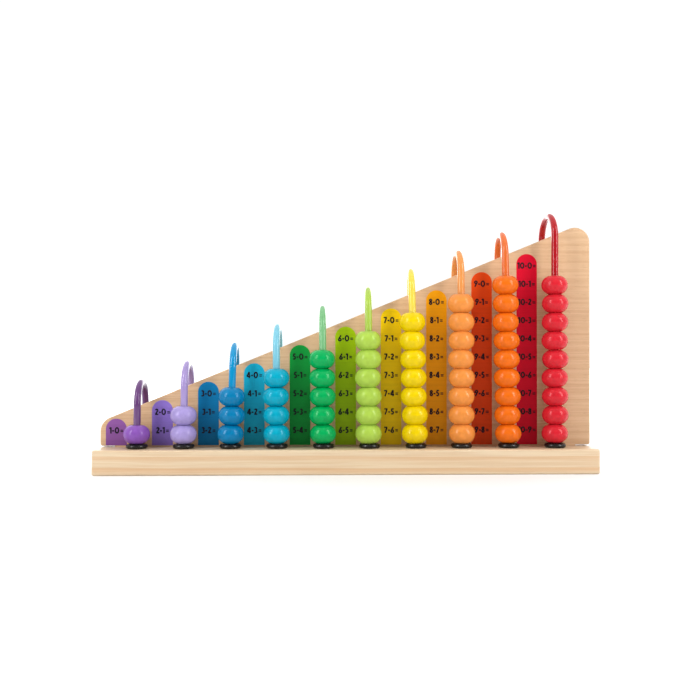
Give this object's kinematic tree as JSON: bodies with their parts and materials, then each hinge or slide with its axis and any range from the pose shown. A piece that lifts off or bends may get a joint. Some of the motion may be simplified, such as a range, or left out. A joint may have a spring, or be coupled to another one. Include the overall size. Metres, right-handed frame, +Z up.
{
  "type": "abacus",
  "caption": "Stepped wooden counting frame: coloured wire hoops of rising height stand over a sloping board on a flat base, and painted beads slide on them.",
  "frame": {"origin": "middle of the base's underside", "axes": "+Z up; +X along the base, towards the tall end; -Y towards the front, where the bead stacks are"},
  "size_m": [0.43, 0.072, 0.2277],
  "materials": {
    "base_wood": "pale close-grained wood under a satin clear lacquer",
    "board_wood": "light plywood face with fine straight grain, clear lacquer",
    "wire_enamel": "glossy coloured coating on steel wire, one colour to a hoop",
    "ring_black": "glossy black",
    "screw_steel": "plain zinc-plated steel",
    "sum_ink": "near-black screen-printed ink",
    "bead_violet": "turned wood under glossy paint",
    "wire_violet": "glossy coating on steel wire",
    "strip_violet": "satin screen-printed paint",
    "bead_lilac": "turned wood under glossy paint",
    "wire_lilac": "glossy coating on steel wire",
    "strip_lilac": "satin screen-printed paint",
    "bead_blue": "turned wood under glossy paint",
    "wire_blue": "glossy coating on steel wire",
    "strip_blue": "satin screen-printed paint",
    "bead_sky": "turned wood under glossy paint",
    "wire_sky": "glossy coating on steel wire",
    "strip_sky": "satin screen-printed paint",
    "bead_green": "turned wood under glossy paint",
    "wire_green": "glossy coating on steel wire",
    "strip_green": "satin screen-printed paint",
    "bead_lime": "turned wood under glossy paint",
    "wire_lime": "glossy coating on steel wire",
    "strip_lime": "satin screen-printed paint",
    "bead_yellow": "turned wood under glossy paint",
    "wire_yellow": "glossy coating on steel wire",
    "strip_yellow": "satin screen-printed paint",
    "bead_peach": "turned wood under glossy paint",
    "wire_peach": "glossy coating on steel wire",
    "strip_peach": "satin screen-printed paint",
    "bead_orange": "turned wood under glossy paint",
    "wire_orange": "glossy coating on steel wire",
    "strip_orange": "satin screen-printed paint",
    "bead_red": "turned wood under glossy paint",
    "wire_red": "glossy coating on steel wire",
    "strip_red": "satin screen-printed paint"
  },
  "bodies": {
    "frame": {"base": "base_wood", "board": "board_wood", "hoops": "wire_enamel", "foot_rings": "ring_black", "board_screws": "screw_steel"},
    "bead_01_01": {"bead_01_01": "bead_violet"},
    "bead_02_01": {"bead_02_01": "bead_lilac"},
    "bead_02_02": {"bead_02_02": "bead_lilac"},
    "bead_03_01": {"bead_03_01": "bead_blue"},
    "bead_03_02": {"bead_03_02": "bead_blue"},
    "bead_03_03": {"bead_03_03": "bead_blue"},
    "bead_04_01": {"bead_04_01": "bead_sky"},
    "bead_04_02": {"bead_04_02": "bead_sky"},
    "bead_04_03": {"bead_04_03": "bead_sky"},
    "bead_04_04": {"bead_04_04": "bead_sky"},
    "bead_05_01": {"bead_05_01": "bead_green"},
    "bead_05_02": {"bead_05_02": "bead_green"},
    "bead_05_03": {"bead_05_03": "bead_green"},
    "bead_05_04": {"bead_05_04": "bead_green"},
    "bead_05_05": {"bead_05_05": "bead_green"},
    "bead_06_01": {"bead_06_01": "bead_lime"},
    "bead_06_02": {"bead_06_02": "bead_lime"},
    "bead_06_03": {"bead_06_03": "bead_lime"},
    "bead_06_04": {"bead_06_04": "bead_lime"},
    "bead_06_05": {"bead_06_05": "bead_lime"},
    "bead_06_06": {"bead_06_06": "bead_lime"},
    "bead_07_01": {"bead_07_01": "bead_yellow"},
    "bead_07_02": {"bead_07_02": "bead_yellow"},
    "bead_07_03": {"bead_07_03": "bead_yellow"},
    "bead_07_04": {"bead_07_04": "bead_yellow"},
    "bead_07_05": {"bead_07_05": "bead_yellow"},
    "bead_07_06": {"bead_07_06": "bead_yellow"},
    "bead_07_07": {"bead_07_07": "bead_yellow"},
    "bead_08_01": {"bead_08_01": "bead_peach"},
    "bead_08_02": {"bead_08_02": "bead_peach"},
    "bead_08_03": {"bead_08_03": "bead_peach"},
    "bead_08_04": {"bead_08_04": "bead_peach"},
    "bead_08_05": {"bead_08_05": "bead_peach"},
    "bead_08_06": {"bead_08_06": "bead_peach"},
    "bead_08_07": {"bead_08_07": "bead_peach"},
    "bead_08_08": {"bead_08_08": "bead_peach"},
    "bead_09_01": {"bead_09_01": "bead_orange"},
    "bead_09_02": {"bead_09_02": "bead_orange"},
    "bead_09_03": {"bead_09_03": "bead_orange"},
    "bead_09_04": {"bead_09_04": "bead_orange"},
    "bead_09_05": {"bead_09_05": "bead_orange"},
    "bead_09_06": {"bead_09_06": "bead_orange"},
    "bead_09_07": {"bead_09_07": "bead_orange"},
    "bead_09_08": {"bead_09_08": "bead_orange"},
    "bead_09_09": {"bead_09_09": "bead_orange"},
    "bead_10_01": {"bead_10_01": "bead_red"},
    "bead_10_02": {"bead_10_02": "bead_red"},
    "bead_10_03": {"bead_10_03": "bead_red"},
    "bead_10_04": {"bead_10_04": "bead_red"},
    "bead_10_05": {"bead_10_05": "bead_red"},
    "bead_10_06": {"bead_10_06": "bead_red"},
    "bead_10_07": {"bead_10_07": "bead_red"},
    "bead_10_08": {"bead_10_08": "bead_red"},
    "bead_10_09": {"bead_10_09": "bead_red"},
    "bead_10_10": {"bead_10_10": "bead_red"}
  },
  "joints": [
    {"name": "bead_01_01_slide", "type": "slide", "parent": "frame", "child": "bead_01_01", "axis": [0.0087, 0.0002, 1], "range_m": [0, 0.02135]},
    {"name": "bead_02_01_slide", "type": "slide", "parent": "frame", "child": "bead_02_01", "axis": [0.0087, 0.0001, 1], "range_m": [0, 0.01078]},
    {"name": "bead_02_02_slide", "type": "slide", "parent": "bead_02_01", "child": "bead_02_02", "axis": [0.0087, 0.0001, 1], "range_m": [0, 0.01078]},
    {"name": "bead_03_01_slide", "type": "slide", "parent": "frame", "child": "bead_03_01", "axis": [0.0262, 0.0007, 0.9997], "range_m": [0, 0.00726]},
    {"name": "bead_03_02_slide", "type": "slide", "parent": "bead_03_01", "child": "bead_03_02", "axis": [0.0262, 0.0007, 0.9997], "range_m": [0, 0.00726]},
    {"name": "bead_03_03_slide", "type": "slide", "parent": "bead_03_02", "child": "bead_03_03", "axis": [0.0262, 0.0007, 0.9997], "range_m": [0, 0.00726]},
    {"name": "bead_04_01_slide", "type": "slide", "parent": "frame", "child": "bead_04_01", "axis": [-0.0087, 0.0002, 1], "range_m": [0, 0.0055]},
    {"name": "bead_04_02_slide", "type": "slide", "parent": "bead_04_01", "child": "bead_04_02", "axis": [-0.0087, 0.0002, 1], "range_m": [0, 0.0055]},
    {"name": "bead_04_03_slide", "type": "slide", "parent": "bead_04_02", "child": "bead_04_03", "axis": [-0.0087, 0.0002, 1], "range_m": [0, 0.0055]},
    {"name": "bead_04_04_slide", "type": "slide", "parent": "bead_04_03", "child": "bead_04_04", "axis": [-0.0087, 0.0002, 1], "range_m": [0, 0.0055]},
    {"name": "bead_05_01_slide", "type": "slide", "parent": "frame", "child": "bead_05_01", "axis": [-0.0087, 0, 1], "range_m": [0, 0.00445]},
    {"name": "bead_05_02_slide", "type": "slide", "parent": "bead_05_01", "child": "bead_05_02", "axis": [-0.0087, 0, 1], "range_m": [0, 0.00445]},
    {"name": "bead_05_03_slide", "type": "slide", "parent": "bead_05_02", "child": "bead_05_03", "axis": [-0.0087, 0, 1], "range_m": [0, 0.00445]},
    {"name": "bead_05_04_slide", "type": "slide", "parent": "bead_05_03", "child": "bead_05_04", "axis": [-0.0087, 0, 1], "range_m": [0, 0.00445]},
    {"name": "bead_05_05_slide", "type": "slide", "parent": "bead_05_04", "child": "bead_05_05", "axis": [-0.0087, 0, 1], "range_m": [0, 0.00445]},
    {"name": "bead_06_01_slide", "type": "slide", "parent": "frame", "child": "bead_06_01", "axis": [-0.0087, 0.0003, 1], "range_m": [0, 0.00374]},
    {"name": "bead_06_02_slide", "type": "slide", "parent": "bead_06_01", "child": "bead_06_02", "axis": [-0.0087, 0.0003, 1], "range_m": [0, 0.00374]},
    {"name": "bead_06_03_slide", "type": "slide", "parent": "bead_06_02", "child": "bead_06_03", "axis": [-0.0087, 0.0003, 1], "range_m": [0, 0.00374]},
    {"name": "bead_06_04_slide", "type": "slide", "parent": "bead_06_03", "child": "bead_06_04", "axis": [-0.0087, 0.0003, 1], "range_m": [0, 0.00374]},
    {"name": "bead_06_05_slide", "type": "slide", "parent": "bead_06_04", "child": "bead_06_05", "axis": [-0.0087, 0.0003, 1], "range_m": [0, 0.00374]},
    {"name": "bead_06_06_slide", "type": "slide", "parent": "bead_06_05", "child": "bead_06_06", "axis": [-0.0087, 0.0003, 1], "range_m": [0, 0.00374]},
    {"name": "bead_07_01_slide", "type": "slide", "parent": "frame", "child": "bead_07_01", "axis": [-0.0261, 0.0016, 0.9997], "range_m": [0, 0.00324]},
    {"name": "bead_07_02_slide", "type": "slide", "parent": "bead_07_01", "child": "bead_07_02", "axis": [-0.0261, 0.0016, 0.9997], "range_m": [0, 0.00324]},
    {"name": "bead_07_03_slide", "type": "slide", "parent": "bead_07_02", "child": "bead_07_03", "axis": [-0.0261, 0.0016, 0.9997], "range_m": [0, 0.00324]},
    {"name": "bead_07_04_slide", "type": "slide", "parent": "bead_07_03", "child": "bead_07_04", "axis": [-0.0261, 0.0016, 0.9997], "range_m": [0, 0.00324]},
    {"name": "bead_07_05_slide", "type": "slide", "parent": "bead_07_04", "child": "bead_07_05", "axis": [-0.0261, 0.0016, 0.9997], "range_m": [0, 0.00324]},
    {"name": "bead_07_06_slide", "type": "slide", "parent": "bead_07_05", "child": "bead_07_06", "axis": [-0.0261, 0.0016, 0.9997], "range_m": [0, 0.00324]},
    {"name": "bead_07_07_slide", "type": "slide", "parent": "bead_07_06", "child": "bead_07_07", "axis": [-0.0261, 0.0016, 0.9997], "range_m": [0, 0.00324]},
    {"name": "bead_08_01_slide", "type": "slide", "parent": "frame", "child": "bead_08_01", "axis": [-0.0035, 0, 1], "range_m": [0, 0.00286]},
    {"name": "bead_08_02_slide", "type": "slide", "parent": "bead_08_01", "child": "bead_08_02", "axis": [-0.0035, 0, 1], "range_m": [0, 0.00286]},
    {"name": "bead_08_03_slide", "type": "slide", "parent": "bead_08_02", "child": "bead_08_03", "axis": [-0.0035, 0, 1], "range_m": [0, 0.00286]},
    {"name": "bead_08_04_slide", "type": "slide", "parent": "bead_08_03", "child": "bead_08_04", "axis": [-0.0035, 0, 1], "range_m": [0, 0.00286]},
    {"name": "bead_08_05_slide", "type": "slide", "parent": "bead_08_04", "child": "bead_08_05", "axis": [-0.0035, 0, 1], "range_m": [0, 0.00286]},
    {"name": "bead_08_06_slide", "type": "slide", "parent": "bead_08_05", "child": "bead_08_06", "axis": [-0.0035, 0, 1], "range_m": [0, 0.00286]},
    {"name": "bead_08_07_slide", "type": "slide", "parent": "bead_08_06", "child": "bead_08_07", "axis": [-0.0035, 0, 1], "range_m": [0, 0.00286]},
    {"name": "bead_08_08_slide", "type": "slide", "parent": "bead_08_07", "child": "bead_08_08", "axis": [-0.0035, 0, 1], "range_m": [0, 0.00286]},
    {"name": "bead_09_01_slide", "type": "slide", "parent": "frame", "child": "bead_09_01", "axis": [-0.0174, 0.0005, 0.9998], "range_m": [0, 0.00257]},
    {"name": "bead_09_02_slide", "type": "slide", "parent": "bead_09_01", "child": "bead_09_02", "axis": [-0.0174, 0.0005, 0.9998], "range_m": [0, 0.00257]},
    {"name": "bead_09_03_slide", "type": "slide", "parent": "bead_09_02", "child": "bead_09_03", "axis": [-0.0174, 0.0005, 0.9998], "range_m": [0, 0.00257]},
    {"name": "bead_09_04_slide", "type": "slide", "parent": "bead_09_03", "child": "bead_09_04", "axis": [-0.0174, 0.0005, 0.9998], "range_m": [0, 0.00257]},
    {"name": "bead_09_05_slide", "type": "slide", "parent": "bead_09_04", "child": "bead_09_05", "axis": [-0.0174, 0.0005, 0.9998], "range_m": [0, 0.00257]},
    {"name": "bead_09_06_slide", "type": "slide", "parent": "bead_09_05", "child": "bead_09_06", "axis": [-0.0174, 0.0005, 0.9998], "range_m": [0, 0.00257]},
    {"name": "bead_09_07_slide", "type": "slide", "parent": "bead_09_06", "child": "bead_09_07", "axis": [-0.0174, 0.0005, 0.9998], "range_m": [0, 0.00257]},
    {"name": "bead_09_08_slide", "type": "slide", "parent": "bead_09_07", "child": "bead_09_08", "axis": [-0.0174, 0.0005, 0.9998], "range_m": [0, 0.00257]},
    {"name": "bead_09_09_slide", "type": "slide", "parent": "bead_09_08", "child": "bead_09_09", "axis": [-0.0174, 0.0005, 0.9998], "range_m": [0, 0.00257]},
    {"name": "bead_10_01_slide", "type": "slide", "parent": "frame", "child": "bead_10_01", "axis": [0, 0, 1], "range_m": [0, 0.00438]},
    {"name": "bead_10_02_slide", "type": "slide", "parent": "bead_10_01", "child": "bead_10_02", "axis": [0, 0, 1], "range_m": [0, 0.00438]},
    {"name": "bead_10_03_slide", "type": "slide", "parent": "bead_10_02", "child": "bead_10_03", "axis": [0, 0, 1], "range_m": [0, 0.00438]},
    {"name": "bead_10_04_slide", "type": "slide", "parent": "bead_10_03", "child": "bead_10_04", "axis": [0, 0, 1], "range_m": [0, 0.00438]},
    {"name": "bead_10_05_slide", "type": "slide", "parent": "bead_10_04", "child": "bead_10_05", "axis": [0, 0, 1], "range_m": [0, 0.00438]},
    {"name": "bead_10_06_slide", "type": "slide", "parent": "bead_10_05", "child": "bead_10_06", "axis": [0, 0, 1], "range_m": [0, 0.00438]},
    {"name": "bead_10_07_slide", "type": "slide", "parent": "bead_10_06", "child": "bead_10_07", "axis": [0, 0, 1], "range_m": [0, 0.00438]},
    {"name": "bead_10_08_slide", "type": "slide", "parent": "bead_10_07", "child": "bead_10_08", "axis": [0, 0, 1], "range_m": [0, 0.00438]},
    {"name": "bead_10_09_slide", "type": "slide", "parent": "bead_10_08", "child": "bead_10_09", "axis": [0, 0, 1], "range_m": [0, 0.00438]},
    {"name": "bead_10_10_slide", "type": "slide", "parent": "frame", "child": "bead_10_10", "axis": [0, 0, 1], "range_m": [0, 0.16805]}
  ]
}
